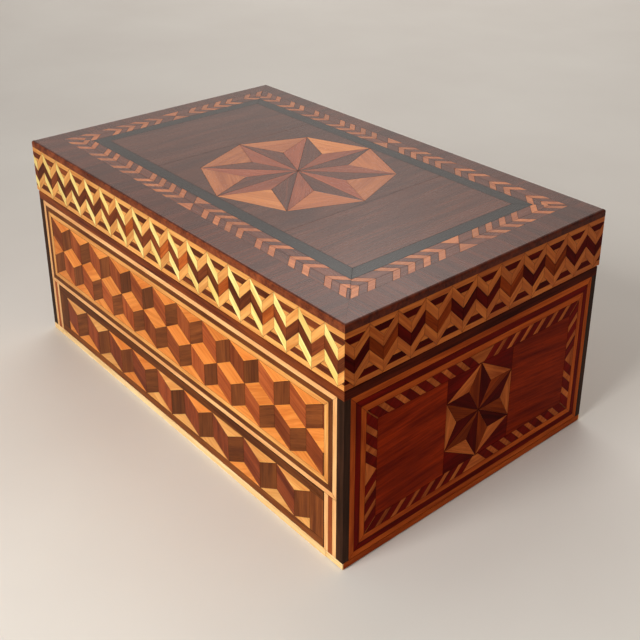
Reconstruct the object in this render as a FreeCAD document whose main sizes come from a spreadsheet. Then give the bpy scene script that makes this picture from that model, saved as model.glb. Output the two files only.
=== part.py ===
import FreeCAD, Part
import math
import os
from types import SimpleNamespace

import Sketcher

# A marquetry puzzle box in millimetres. X runs along the box, -Y is the front with the secret
# drawer, +Y the hinged back, +Z up; the origin is under the middle of the whole, hinges included.
# A strip under the right end slides forward and uncovers the drawer bolt. The open drawer
# uncovers the lid bolt in the front board. Both bolts are drawn as modelled, so nothing is locked.

doc = FreeCAD.newDocument("puzzle_box")

DIMENSIONS = {
    # the whole box
    "box_length": 300,
    "box_width": 188,
    "box_height": 137,
    "base_height": 103,
    "base_inset": 0.6,
    "seam_gap": 0.3,
    "veneer": 1.2,
    "ground": 8,
    "run_gap": 0.3,
    # base
    "post_across": 4.8,
    "post_deep": 3.9,
    "cap_height": 5.6,
    "cap_chamfer": 0.8,
    "plinth_height": 4.2,
    "plinth_width": 12.5,
    "bottom_board": 6,
    "dust_board_bottom": 39,
    "dust_board": 5,
    "lining": 2,
    "lining_drop": 0.3,
    "guide_height": 11,
    # lid
    "border_thickness": 4.1,
    "border_left": 11.7,
    "border_right": 15.7,
    "border_front": 16.3,
    "border_back": 11.7,
    "border_round": 1.5,
    "chevron_width": 13.6,
    "line_width": 8,
    "star_radius": 58,
    "field_seam": 60,
    "lid_board": 7,
    "lid_lining": 2,
    # drawer
    "opening_half": 135.7,
    "drawer_gap": 0.4,
    "drawer_side": 6,
    "drawer_side_top": 36.5,
    "drawer_length": 164.5,
    "drawer_bottom": 2.5,
    "drawer_bottom_raise": 4,
    # sliding strip and the dovetail that runs in the right wall's lower edge
    "strip_lift": 0.5,
    "strip_travel": 40,
    "dovetail_height": 2.4,
    "dovetail_half_foot": 1.5,
    "dovetail_half_top": 2.2,
    "dovetail_clearance": 0.4,
    # drawer bolt
    "bolt_place": 68,
    "bolt_bottom": 1.8,
    "bolt_width": 10,
    "bolt_thickness": 2.1,
    "bolt_length": 22.4,
    "bolt_draw": 6.5,
    "tooth_along": 6,
    "tooth_width": 8,
    "tooth_top": 9.8,
    "tooth_from_end": 2,
    "bolt_pin_hole": 1,
    "keeper_thickness": 1,
    "keeper_along": 5,
    "keeper_width": 22,
    "keeper_from_tip": 4,
    "keeper_screw": 8.5,
    "keeper_screw_length": 5,
    # lid bolt and catch
    "lid_bolt_channel": 5.5,
    "lid_bolt_left": 24,
    "lid_bolt_arm": 8,
    "lid_bolt_travel": 8,
    "lid_bolt_thickness": 3.2,
    "lid_bolt_top": 96.5,
    "finger_bottom": 92,
    "finger_height": 3,
    "finger_length": 10,
    "finger_thickness": 1.8,
    "catch_left": 5,
    "catch_plate": 2,
    "catch_width": 4,
    "catch_bottom": 89.3,
    "catch_flange": 1.2,
    "catch_flange_half": 10,
    "catch_flange_width": 6.7,
    "catch_hole_width": 2.6,
    "catch_hole_height": 4,
    "catch_screw": 6,
    "catch_screw_inset": 4.4,
    # hinges
    "hinge_place": 95,
    "hinge_length": 40,
    "hinge_reach": 11.2,
    "leaf": 1.2,
    "pin_stand_off": 2.4,
    "barrel_radius": 2,
    "pin_radius": 1,
    "pin_clearance": 0.05,
    "knuckle_gap": 0.3,
    "screw_spacing": 14,
    "screw_inset": 7.4,
    "screw_head": 1.9,
    "screw_shank": 1,
    "screw_length": 8,
    "screw_slot": 0.6,
    "screw_slot_depth": 0.4,
}
KNUCKLES = 5


class Size:
    """A length with the sheet expression that gives it, so that arithmetic keeps the two together."""

    def __init__(self, value, text):
        self.value, self.text = value, text

    def __add__(self, other):
        other = size(other)
        return Size(self.value + other.value, f"({self.text} + {other.text})")

    def __sub__(self, other):
        other = size(other)
        return Size(self.value - other.value, f"({self.text} - {other.text})")

    def __mul__(self, factor):
        return Size(self.value * factor, f"({self.text} * {factor:.9f})")

    def __truediv__(self, divisor):
        return Size(self.value / divisor, f"({self.text} / {divisor})")

    def __neg__(self):
        return Size(-self.value, f"(-{self.text})")


def size(number):
    """The number as a Size."""
    return number if isinstance(number, Size) else Size(number, str(number))


def fill_sheet():
    """The driving dimensions as cells with aliases, and a Size for each."""
    sheet = doc.addObject("Spreadsheet::Sheet", "dims")
    for row, (name, number) in enumerate(DIMENSIONS.items(), 1):
        sheet.set(f"A{row}", name)
        sheet.set(f"B{row}", str(number))
        sheet.setAlias(f"B{row}", name)
    doc.recompute()
    return SimpleNamespace(**{n: Size(v, f"dims.{n}") for n, v in DIMENSIONS.items()})


d = fill_sheet()

# Planes that several pieces share. The y values are measured from the box's own middle.
mid_y = -(d.pin_stand_off + d.barrel_radius) / 2
lid_x, lid_y = d.box_length / 2, d.box_width / 2
lid_z = d.base_height + d.seam_gap
base_x, base_y = lid_x - d.base_inset, lid_y - d.base_inset
ground_x, ground_y = base_x - d.veneer, base_y - d.veneer
inner_x, inner_y = ground_x - d.ground, ground_y - d.ground
post_x, post_y = base_x - d.post_across, base_y - d.post_deep
cap_z = d.base_height - d.cap_height
plinth_x = base_x - d.plinth_width
bolt_top = d.bolt_bottom + d.bolt_thickness
floor_z = d.dust_board_bottom + d.dust_board
lid_ground_x, lid_ground_y = lid_x - d.veneer, lid_y - d.veneer
lid_inner_x, lid_inner_y = lid_ground_x - d.ground, lid_ground_y - d.ground
border_z = d.box_height - d.border_thickness
veneer_z = d.box_height - d.veneer
axis_y, axis_z = lid_y + d.pin_stand_off, d.base_height + d.seam_gap / 2
drawer_x = d.opening_half - d.drawer_gap
side_x = drawer_x - d.run_gap - 0.2
drawer_front_y = ground_y
drawer_back_of_front_y = inner_y + d.run_gap
drawer_floor_z = d.bottom_board + d.run_gap + d.drawer_bottom_raise


def frame(half_x, half_y):
    """A rectangle about the box's middle, as its left, right, front and back sides."""
    return SimpleNamespace(left=-half_x, right=half_x, front=-half_y, back=half_y)


def inset(outer, left, right=None, front=None, back=None):
    """A rectangle inside another: by one width all round, or by one for each side."""
    right, front, back = (left if n is None else n for n in (right, front, back))
    return SimpleNamespace(left=outer.left + left, right=outer.right - right,
                           front=outer.front + front, back=outer.back - back)


lid_edge = frame(lid_x, lid_y)
border_edge = inset(lid_edge, d.border_left, d.border_right, d.border_front, d.border_back)
chevron_edge = inset(border_edge, d.chevron_width)
field_edge = inset(chevron_edge, d.line_width)
star_y = (field_edge.front + field_edge.back) / 2

nodes = {}


def keep(thing, label):
    """The finished object as the piece of that name."""
    thing.Label = label
    nodes[label] = thing
    return thing


def bind(thing, **sizes):
    """Each named property tied to its Size."""
    for name, number in sizes.items():
        thing.setExpression(name.replace("_", "."), size(number).text)


def place(thing, x, y, z):
    """The object's Placement tied to a point, with y measured from the box's middle."""
    bind(thing, Placement_Base_x=x, Placement_Base_y=mid_y + y, Placement_Base_z=z)


def block(name, x, y, z):
    """A rectangular block between three pairs of planes."""
    box = doc.addObject("Part::Box", name)
    sides = [size(high) - low for low, high in (x, y, z)]
    bind(box, Length=sides[0], Width=sides[1], Height=sides[2])
    place(box, x[0], size(y[0]), z[0])
    return box


def rod(name, radius, length, x, y, z, along_x=False):
    """A round bar upwards from a point, or along X."""
    bar = doc.addObject("Part::Cylinder", name)
    bind(bar, Radius=radius, Height=length)
    if along_x:
        bar.Placement = FreeCAD.Placement(
            FreeCAD.Vector(), FreeCAD.Rotation(FreeCAD.Vector(0, 1, 0), 90)
        )
    place(bar, x, y, z)
    return bar


def joined(name, pieces):
    """The pieces fused into one solid."""
    fuse = doc.addObject("Part::MultiFuse", name)
    fuse.Shapes = pieces
    fuse.Refine = True
    return fuse


def group(name, pieces):
    """The pieces as separate solids in one object."""
    compound = doc.addObject("Part::Compound", name)
    compound.Links = pieces
    return compound


def less(name, base, tools):
    """The base with every tool taken out of it."""
    for count, tool in enumerate(tools):
        result = doc.addObject("Part::Cut", f"{name}_cut_{count}")
        result.Base, result.Tool = base, tool
        base = result
    return base


def draw(body, role, loops):
    """A sketch of closed straight-sided loops on one of the body's own planes, every corner tied to the sheet."""
    sketch = body.newObject("Sketcher::SketchObject", f"{body.Name}_sketch")
    plane = next(f for f in body.Origin.OriginFeatures if f.Role == role)
    sketch.AttachmentSupport = [(plane, "")]
    sketch.MapMode = "FlatFace"
    for loop in loops:
        first = sketch.GeometryCount
        corners = [FreeCAD.Vector(size(u).value, size(v).value, 0) for u, v in loop]
        for i, corner in enumerate(corners):
            sketch.addGeometry(Part.LineSegment(corner, corners[(i + 1) % len(loop)]))
        for i, (u, v) in enumerate(loop):
            after = first + (i + 1) % len(loop)
            sketch.addConstraint(Sketcher.Constraint("Coincident", first + i, 2, after, 1))
            for kind, number in (("DistanceX", size(u)), ("DistanceY", size(v))):
                rule = Sketcher.Constraint(kind, -1, 1, first + i, 1, number.value)
                index = sketch.addConstraint(rule)
                sketch.setExpression(f"Constraints[{index}]", number.text)
    return sketch


def plate(name, role, loops, low, high):
    """A flat piece with a drawn outline, between two planes along the drawing's normal."""
    body = doc.addObject("PartDesign::Body", name)
    pad = body.newObject("PartDesign::Pad", f"{body.Name}_pad")
    pad.Profile = draw(body, role, loops)
    bind(pad, Length=size(high) - low)
    if role == "XY_Plane":
        place(body, 0, size(0), low)
    elif role == "XZ_Plane":
        place(body, 0, size(high), 0)
    else:
        place(body, low, size(0), 0)
    body.Tip = pad
    doc.recompute()
    return body


def softened(body, kind, amount, wanted):
    """The body with the edges that the test picks rounded or chamfered."""
    tip = body.Tip
    edges = [f"Edge{i}" for i, e in enumerate(tip.Shape.Edges, 1) if wanted(e)]
    before = tip.Shape.Volume
    feature = body.newObject(f"PartDesign::{kind}", f"{body.Name}_{kind.lower()}")
    feature.Base = (tip, edges)
    bind(feature, **{"Radius" if kind == "Fillet" else "Size": amount})
    body.Tip = feature
    doc.recompute()
    if not edges or feature.Shape.Volume >= before:
        raise SystemExit(f"{body.Name}: no edge was softened")
    return body


def rectangle(x, y):
    """The four corners between two pairs of lines."""
    return [(x[0], y[0]), (x[1], y[0]), (x[1], y[1]), (x[0], y[1])]


def side(sign, low, high):
    """A pair of planes, or its mirror image across the middle."""
    return (low, high) if sign > 0 else (-high, -low)


def mitred(name, where, outer, inner, low, high):
    """One strip of the frame between two rectangles, mitred at both ends."""
    ends = ("left", "right") if where in ("front", "back") else ("front", "back")

    def corner(edge, end):
        x, y = (end, where) if where in ("front", "back") else (where, end)
        return getattr(edge, x), getattr(edge, y)

    outline = [corner(outer, ends[0]), corner(outer, ends[1]),
               corner(inner, ends[1]), corner(inner, ends[0])]
    return plate(f"{name}_{where}", "XY_Plane", [outline], low, high)


SIDES = ("front", "back", "left", "right")


def runs_along(edge, where, plane_x, plane_y, height):
    """Whether an edge of a mitred strip is its outer one at that height, in the strip's own frame."""
    ends = [v.Point for v in edge.Vertexes]
    at_height = all(abs(p.z - height) < 1e-4 for p in ends)
    if where in ("front", "back"):
        return at_height and all(abs(abs(p.y) - plane_y) < 1e-4 for p in ends)
    return at_height and all(abs(abs(p.x) - plane_x) < 1e-4 for p in ends)


def screws(name, places, face_z, upward, length):
    """Countersunk wood screws with their heads flush with a face: plain ones for their holes, and slotted ones."""
    plain, slotted = [], []
    for count, (x, y) in enumerate(places):
        head = doc.addObject("Part::Cone", f"{name}_head_{count}")
        wide, narrow = d.screw_head, d.screw_shank
        bind(
            head,
            Radius1=wide if upward else narrow,
            Radius2=narrow if upward else wide,
            Height=d.leaf,
        )
        place(head, x, y, face_z if upward else face_z - d.leaf)
        shank_z = face_z + d.leaf if upward else face_z - length
        shank = rod(f"{name}_shank_{count}", narrow, length - d.leaf, x, y, shank_z)
        screw = joined(f"{name}_plain_{count}", [head, shank])
        slot_z = (face_z, face_z + d.screw_slot_depth)
        if not upward:
            slot_z = (face_z - d.screw_slot_depth, face_z)
        slot = block(
            f"{name}_slot_{count}",
            (size(x) - wide, size(x) + wide),
            (y - d.screw_slot / 2, y + d.screw_slot / 2),
            slot_z,
        )
        plain.append(screw)
        slotted += [less(f"{name}_{count}", screw, [slot])]
    return plain, slotted


def hinge_places():
    """Where the hinge screws go, three along each leaf."""
    rows = [hinge + step for hinge in (-d.hinge_place, d.hinge_place)
            for step in (-d.screw_spacing, size(0), d.screw_spacing)]
    return [(x, axis_y - d.screw_inset) for x in rows]


def knuckle(hinge_x, index):
    """The stretch of X that one knuckle of a hinge takes."""
    pitch = d.hinge_length / KNUCKLES
    start = hinge_x - d.hinge_length / 2 + pitch * index
    return start + d.knuckle_gap / 2, start + pitch - d.knuckle_gap / 2


def hinge_leaf(name, hinge_x, plate_z, indices, bore, holes):
    """A brass leaf: its plate in the wood, its knuckles round the pin, and its screw holes."""
    edge_y = axis_y - d.barrel_radius - d.run_gap
    ends = (hinge_x - d.hinge_length / 2, hinge_x + d.hinge_length / 2)
    pieces = [block(f"{name}_plate", ends, (axis_y - d.hinge_reach, edge_y), plate_z)]
    for index in indices:
        span = knuckle(hinge_x, index)
        pieces.append(block(f"{name}_web_{index}", span, (edge_y, axis_y), plate_z))
        pieces.append(
            rod(f"{name}_barrel_{index}", d.barrel_radius, span[1] - span[0],
                span[0], axis_y, axis_z, along_x=True)
        )
    hole = rod(f"{name}_bore", bore, d.hinge_length, ends[0], axis_y, axis_z, along_x=True)
    return keep(less(name, joined(f"{name}_solid", pieces), [hole, *holes]), name)


def hinge_mortise(name, hinge_x, z):
    """The recess for one leaf in the back of the box."""
    ends = (hinge_x - d.hinge_length / 2, hinge_x + d.hinge_length / 2)
    return block(name, ends, (axis_y - d.hinge_reach, axis_y), z)


def make_hinges():
    """Two brass butt hinges, each with a base leaf, a lid leaf and a pin, and the screws of the base and of the lid."""
    base_z = (d.base_height - d.leaf, d.base_height)
    lid_leaf_z = (lid_z, lid_z + d.leaf)
    keeper_x = bolt_tip_x + d.keeper_from_tip + d.keeper_along / 2
    keeper_places = [(keeper_x, d.bolt_place + step) for step in (-d.keeper_screw, d.keeper_screw)]
    catch_x = -d.catch_left + d.catch_plate / 2
    catch_y = -lid_inner_y - d.catch_screw_inset + d.veneer
    catch_places = [(catch_x + step, catch_y) for step in (-d.catch_screw, d.catch_screw)]
    base_plain, base_slotted = screws("base_screw", hinge_places(), d.base_height, False, d.screw_length)
    keeper_face = d.bottom_board + d.keeper_thickness
    keeper_plain, keeper_slotted = screws(
        "keeper_screw", keeper_places, keeper_face, False, d.keeper_screw_length
    )
    lid_plain, lid_slotted = screws("lid_screw", hinge_places(), lid_z, True, d.screw_length)
    catch_plain, catch_slotted = screws("catch_screw", catch_places, lid_z, True, d.screw_length)
    keep(group("base_screws", base_slotted + keeper_slotted), "base_screws")
    keep(group("lid_screws", lid_slotted + catch_slotted), "lid_screws")
    even, odd = range(0, KNUCKLES, 2), range(1, KNUCKLES, 2)
    base_mortises, lid_mortises, pins = [], [], []
    for count, (where, x) in enumerate((("left", -d.hinge_place), ("right", d.hinge_place))):
        mine = slice(3 * count, 3 * count + 3)
        hinge_leaf(f"hinge_base_leaf_{where}", x, base_z, even, d.pin_radius, base_plain[mine])
        hinge_leaf(
            f"hinge_lid_leaf_{where}", x, lid_leaf_z, odd,
            d.pin_radius + d.pin_clearance, lid_plain[mine],
        )
        pins.append(
            rod(f"pin_{where}", d.pin_radius, d.hinge_length - d.knuckle_gap,
                x - d.hinge_length / 2 + d.knuckle_gap / 2, axis_y, axis_z, along_x=True)
        )
        base_mortises.append(hinge_mortise(f"base_mortise_{where}", x, base_z))
        lid_mortises.append(hinge_mortise(f"lid_mortise_{where}", x, lid_leaf_z))
    keep(group("hinge_pins", pins), "hinge_pins")
    return SimpleNamespace(
        base_mortises=base_mortises, lid_mortises=lid_mortises, base_plain=base_plain,
        keeper_plain=keeper_plain, lid_plain=lid_plain, catch_plain=catch_plain,
    )


def make_locks(holes):
    """The drawer bolt with its keeper, and the lid bolt with the catch that it enters."""
    plate_z = (d.bolt_bottom, bolt_top)
    bolt_y = (d.bolt_place - d.bolt_width / 2, d.bolt_place + d.bolt_width / 2)
    flat = block("drawer_bolt_plate", (bolt_tip_x, bolt_tip_x + d.bolt_length), bolt_y, plate_z)
    tooth_x = bolt_tip_x + d.bolt_length - d.tooth_from_end - d.tooth_along
    tooth = block(
        "drawer_bolt_tooth",
        (tooth_x, tooth_x + d.tooth_along),
        (d.bolt_place - d.tooth_width / 2, d.bolt_place + d.tooth_width / 2),
        (plate_z[0], d.tooth_top),
    )
    hole_x = bolt_tip_x + d.keeper_from_tip + d.keeper_along + d.bolt_pin_hole * 2.5
    pin_hole = rod("drawer_bolt_hole", d.bolt_pin_hole, d.bolt_thickness * 2,
                   hole_x, d.bolt_place, plate_z[0] - d.run_gap)
    keep(less("drawer_bolt", joined("drawer_bolt_solid", [flat, tooth]), [pin_hole]), "drawer_bolt")
    keeper_x = bolt_tip_x + d.keeper_from_tip
    along = (keeper_x, keeper_x + d.keeper_along)
    strap = block(
        "keeper_strap", along,
        (d.bolt_place - d.keeper_width / 2, d.bolt_place + d.keeper_width / 2),
        (d.bottom_board, d.bottom_board + d.keeper_thickness),
    )
    web = block(
        "keeper_web", along,
        (bolt_y[0] - d.run_gap, bolt_y[1] + d.run_gap), (bolt_top + d.run_gap, d.bottom_board),
    )
    keeper = joined("keeper_solid", [strap, web])
    keep(less("bolt_keeper", keeper, holes.keeper_plain), "bolt_keeper")

    bolt_back_y = -inner_y - (d.lid_bolt_channel - d.lid_bolt_thickness) / 2
    arm_x = (-d.lid_bolt_left, -d.lid_bolt_left + d.lid_bolt_arm)
    arm = block("lid_bolt_arm", arm_x, (bolt_back_y - d.lid_bolt_thickness, bolt_back_y),
                (d.dust_board_bottom + d.run_gap, d.lid_bolt_top))
    middle_y = -lid_inner_y - d.catch_width / 2
    finger = block(
        "lid_bolt_finger", (arm_x[0], arm_x[1] + d.finger_length),
        (middle_y - d.finger_thickness / 2, middle_y + d.finger_thickness / 2),
        (d.finger_bottom, d.finger_bottom + d.finger_height),
    )
    keep(joined("lid_bolt", [arm, finger]), "lid_bolt")

    tongue_x = (-d.catch_left, -d.catch_left + d.catch_plate)
    tongue = block("catch_tongue", tongue_x, (-lid_inner_y - d.catch_width, -lid_inner_y),
                   (d.catch_bottom, lid_z + d.catch_flange))
    hole_z = d.finger_bottom + (d.finger_height - d.catch_hole_height) / 2
    hole = block(
        "catch_hole", tongue_x,
        (middle_y - d.catch_hole_width / 2, middle_y + d.catch_hole_width / 2),
        (hole_z, hole_z + d.catch_hole_height),
    )
    solid = joined("catch_solid", [catch_flange("catch_flange_plate"), tongue])
    keep(less("lid_catch", solid, [hole, *holes.catch_plain]), "lid_catch")


def catch_flange(name):
    """The catch's plate in the lid's front rail, or the recess for it."""
    middle = -d.catch_left + d.catch_plate / 2
    return block(
        name, (middle - d.catch_flange_half, middle + d.catch_flange_half),
        (-lid_inner_y - d.catch_flange_width, -lid_inner_y), (lid_z, lid_z + d.catch_flange),
    )


def wall_outline(sign):
    """The plan of a front or back board, lapped round the corner posts."""
    return [
        (-post_x, ground_y * sign), (-post_x, post_y * sign), (-inner_x, post_y * sign),
        (-inner_x, inner_y * sign), (inner_x, inner_y * sign), (inner_x, post_y * sign),
        (post_x, post_y * sign), (post_x, ground_y * sign),
    ]


def make_case(holes):
    """The base's boards, posts, caps, plinth and linings."""
    channel = block(
        "bolt_channel", (bolt_tip_x - d.run_gap, plinth_x),
        (d.bolt_place - d.bolt_width / 2 - d.run_gap, d.bolt_place + d.bolt_width / 2 + d.run_gap),
        (d.bolt_bottom - d.run_gap, d.bottom_board),
    )
    board = block("bottom_slab", (-plinth_x, plinth_x), (-inner_y, inner_y), (0, d.bottom_board))
    keep(less("bottom_board", board, [channel, *holes.keeper_plain]), "bottom_board")

    front = plate("front_plan", "XY_Plane", [wall_outline(-1)], d.dust_board_bottom, cap_z)
    channel_y = (-inner_y - d.lid_bolt_channel, -inner_y)
    left = -d.lid_bolt_left - d.run_gap
    arm_end = -d.lid_bolt_left + d.lid_bolt_arm + d.lid_bolt_travel + d.run_gap
    finger_end = arm_end + d.finger_length
    arm_room = block("arm_room", (left, arm_end), channel_y, (d.dust_board_bottom, cap_z))
    finger_room = block("finger_room", (left, finger_end), channel_y,
                        (d.catch_bottom - d.run_gap * 2, cap_z))
    keep(less("front_board", front, [arm_room, finger_room]), "front_board")
    back = plate("back_plan", "XY_Plane", [wall_outline(1)], d.plinth_height, cap_z)
    keep(less("back_board", back, holes.base_plain), "back_board")

    for name, sign in (("left", -1), ("right", 1)):
        wall = block(f"{name}_wall", side(sign, inner_x, ground_x), (-post_y, post_y),
                     (d.plinth_height, cap_z))
        groove = [dovetail("strip_groove", d.dovetail_clearance, -post_y, post_y)] if name == "right" else []
        keep(less(f"{name}_wall_fitted", wall, groove), f"{name}_board")
        across = side(sign, d.opening_half, post_x)
        near = side(sign, d.opening_half, inner_x)
        stile = joined(f"stile_{name}", [
            block(f"stile_face_{name}", across, (-ground_y, -post_y),
                  (d.plinth_height, d.dust_board_bottom)),
            block(f"stile_lap_{name}", near, (-post_y, -inner_y),
                  (d.plinth_height, d.dust_board_bottom)),
        ])
        keep(stile, f"front_stile_{name}")
        guide = block(f"guide_{name}", side(sign, side_x + d.run_gap, inner_x), (-inner_y, inner_y),
                      (d.bottom_board, d.bottom_board + d.guide_height))
        keep(guide, f"drawer_guide_{name}")
        lining = block(f"lining_{name}_sheet", side(sign, inner_x - d.lining, inner_x),
                       (-inner_y + d.lining, inner_y - d.lining),
                       (floor_z, d.base_height - d.lining_drop))
        keep(lining, f"lining_{name}")
    for name, sign in (("front", -1), ("back", 1)):
        lining = block(f"lining_{name}_sheet", (-inner_x, inner_x),
                       side(sign, inner_y - d.lining, inner_y),
                       (floor_z, d.base_height - d.lining_drop))
        keep(lining, f"lining_{name}")

    dust = block("dust_slab", (-inner_x, inner_x), (-inner_y, inner_y), (d.dust_board_bottom, floor_z))
    keep(dust, "dust_board")
    posts = [
        block(f"post_{i}_{j}", side(i, post_x, base_x), side(j, post_y, base_y), (d.plinth_height, cap_z))
        for i in (-1, 1) for j in (-1, 1)
    ]
    keep(group("posts", posts), "corner_posts")

    catch_room = block(
        "catch_room", (-d.catch_left - d.run_gap * 2, -d.catch_left + d.catch_plate + d.run_gap * 2),
        channel_y, (cap_z, d.base_height),
    )
    cuts = {"front": [catch_room], "back": [*holes.base_mortises, *holes.base_plain]}
    for where in SIDES:
        cap = mitred("cap_strip", where, frame(base_x, base_y), frame(inner_x, inner_y),
                     cap_z, d.base_height)
        softened(cap, "Chamfer", d.cap_chamfer, lambda e, w=where: runs_along(
            e, w, base_x.value, base_y.value, d.cap_height.value))
        keep(less(f"cap_{where}", cap, cuts.get(where, [])), f"cap_{where}")

    for name, sign in (("front", -1), ("back", 1)):
        keep(block(f"plinth_bar_{name}", (-plinth_x, plinth_x), side(sign, inner_y, base_y),
                   (0, d.plinth_height)), f"plinth_{name}")
    keep(block("plinth_bar_left", (-base_x, -plinth_x), (-base_y, base_y), (0, d.plinth_height)),
         "plinth_left")
    strip = block("strip_bar", (plinth_x + d.run_gap, base_x), (-base_y, base_y),
                  (d.strip_lift, d.plinth_height - d.run_gap))
    tongue = dovetail("strip_tongue", size(0), -post_y + d.strip_travel + d.run_gap,
                      post_y - d.run_gap)
    keep(joined("strip", [strip, tongue]), "sliding_strip")


def dovetail(name, clearance, low_y, high_y):
    """The dovetail rib of the sliding strip, or with a clearance the groove for it."""
    middle = (inner_x + ground_x) / 2
    foot, top = d.dovetail_half_foot + clearance, d.dovetail_half_top + clearance
    low = d.plinth_height - d.run_gap
    high = d.plinth_height + d.dovetail_height + clearance
    outline = [(middle - foot, low), (middle + foot, low), (middle + top, high), (middle - top, high)]
    return plate(name, "XZ_Plane", [outline], low_y, high_y)


def make_base_marquetry():
    """The veneered sheets on the four sides of the base."""
    opening_top = d.dust_board_bottom
    front = [
        (-post_x, d.plinth_height), (-d.opening_half, d.plinth_height),
        (-d.opening_half, opening_top), (d.opening_half, opening_top),
        (d.opening_half, d.plinth_height), (post_x, d.plinth_height),
        (post_x, cap_z), (-post_x, cap_z),
    ]
    keep(plate("front_sheet", "XZ_Plane", [front], -base_y, -ground_y), "front_marquetry")
    back = rectangle((-post_x, post_x), (d.plinth_height, cap_z))
    keep(plate("back_sheet", "XZ_Plane", [back], ground_y, base_y), "back_marquetry")
    end = rectangle((-post_y, post_y), (d.plinth_height, cap_z))
    for name, sign in (("left", -1), ("right", 1)):
        low, high = side(sign, ground_x, base_x)
        keep(plate(f"{name}_sheet", "YZ_Plane", [end], low, high), f"{name}_marquetry")


def make_drawer():
    """The secret drawer: five boards, and the marquetry on its front."""
    front_z = (d.plinth_height + d.run_gap, d.dust_board_bottom - d.run_gap)
    keep(block("drawer_face", (-drawer_x, drawer_x), (-drawer_front_y, -drawer_back_of_front_y), front_z),
         "drawer_front")
    sheet = rectangle((-drawer_x, drawer_x), front_z)
    keep(plate("drawer_sheet", "XZ_Plane", [sheet], -base_y, -ground_y), "drawer_marquetry")
    start, end = -drawer_back_of_front_y, -drawer_back_of_front_y + d.drawer_length
    low = d.bottom_board + d.run_gap
    notch_y = (d.bolt_place - d.tooth_width / 2 - d.run_gap, d.bolt_place + d.tooth_width / 2 + d.run_gap)
    notch_top = d.tooth_top + d.run_gap
    plain = rectangle((start, end), (low, d.drawer_side_top))
    notched = [
        (start, low), (notch_y[0], low), (notch_y[0], notch_top), (notch_y[1], notch_top),
        (notch_y[1], low), (end, low), (end, d.drawer_side_top), (start, d.drawer_side_top),
    ]
    for name, sign, outline in (("left", -1, plain), ("right", 1, notched)):
        x = side(sign, side_x - d.drawer_side, side_x)
        keep(plate(f"side_{name}", "YZ_Plane", [outline], x[0], x[1]), f"drawer_side_{name}")
    inside = side_x - d.drawer_side
    top = drawer_floor_z + d.drawer_bottom
    keep(block("drawer_base", (-inside, inside), (start, end), (drawer_floor_z, top)), "drawer_bottom")
    keep(block("drawer_rear", (-inside, inside), (end - d.drawer_side, end), (top, d.drawer_side_top)),
         "drawer_back")


def make_lid(holes):
    """The lid's board, rails, bands, border, lining and top marquetry."""
    panel = block("lid_panel", (-lid_inner_x, lid_inner_x), (-lid_inner_y, lid_inner_y),
                  (border_z - d.lid_board, border_z))
    raised = block("lid_raised", (border_edge.left, border_edge.right),
                   (border_edge.front, border_edge.back), (border_z, veneer_z))
    keep(joined("lid_ground", [panel, raised]), "lid_top_board")
    keep(block("lid_inside", (-lid_inner_x, lid_inner_x), (-lid_inner_y, lid_inner_y),
               (border_z - d.lid_board - d.lid_lining, border_z - d.lid_board)), "lid_lining")

    rail_z = (lid_z, border_z)
    for name, sign in (("front", -1), ("back", 1)):
        rail = block(f"rail_{name}", (-lid_ground_x, lid_ground_x),
                     side(sign, lid_inner_y, lid_ground_y), rail_z)
        cuts = [*holes.lid_mortises, *holes.lid_plain]
        if name == "front":
            cuts = [catch_flange("catch_recess"), *holes.catch_plain]
        keep(less(f"rail_{name}_fitted", rail, cuts), f"lid_rail_{name}")
    for name, sign in (("left", -1), ("right", 1)):
        keep(block(f"rail_{name}", side(sign, lid_inner_x, lid_ground_x), (-lid_inner_y, lid_inner_y),
                   rail_z), f"lid_rail_{name}")
    for where in SIDES:
        band = mitred("band", where, lid_edge, frame(lid_ground_x, lid_ground_y), lid_z, border_z)
        cuts = holes.lid_mortises if where == "back" else []
        keep(less(f"band_{where}_fitted", band, cuts), f"lid_band_{where}")

    border, chevrons, lines = [], [], []
    for where in SIDES:
        strip = mitred("border", where, lid_edge, border_edge, border_z, d.box_height)
        softened(strip, "Fillet", d.border_round, lambda e, w=where: runs_along(
            e, w, lid_x.value, lid_y.value, d.border_thickness.value))
        border.append(strip)
        chevrons.append(mitred("chevron", where, border_edge, chevron_edge, veneer_z, d.box_height))
        lines.append(mitred("line", where, chevron_edge, field_edge, veneer_z, d.box_height))
    keep(group("border_strips", border), "lid_border")
    keep(group("chevron_strips", chevrons), "lid_chevron_banding")
    keep(group("line_strips", lines), "lid_line")

    eighths = [math.radians(45 * i) for i in range(8)]
    octagon = [(d.star_radius * math.cos(a), star_y + d.star_radius * math.sin(a)) for a in eighths]
    deep = (field_edge.front, field_edge.back)
    middle = rectangle((-d.field_seam, d.field_seam), deep)
    veneers = [plate("field_middle", "XY_Plane", [middle, octagon], veneer_z, d.box_height)]
    for name, across in (("left", (field_edge.left, -d.field_seam)),
                         ("right", (d.field_seam, field_edge.right))):
        veneers.append(plate(f"field_{name}", "XY_Plane", [rectangle(across, deep)],
                             veneer_z, d.box_height))
    keep(group("field_veneers", veneers), "lid_field")
    keep(plate("star", "XY_Plane", [octagon], veneer_z, d.box_height), "lid_star")


def check():
    """Stops unless every object was made and every piece is whole."""
    doc.recompute()
    for thing in doc.Objects:
        if "Invalid" in thing.State or "Error" in thing.State:
            raise SystemExit(f"{thing.Name} failed: {thing.State}")
    for label, thing in nodes.items():
        shape = thing.Shape
        if shape.isNull() or not shape.isValid() or not shape.Solids:
            raise SystemExit(f"{label} has no sound shape")


# The drawer bolt's inner end, drawn back so that its tooth clears the drawer's side.
bolt_tip_x = plinth_x - d.bolt_draw - d.bolt_length

fittings = make_hinges()
make_locks(fittings)
make_case(fittings)
make_base_marquetry()
make_drawer()
make_lid(fittings)
check()

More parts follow.
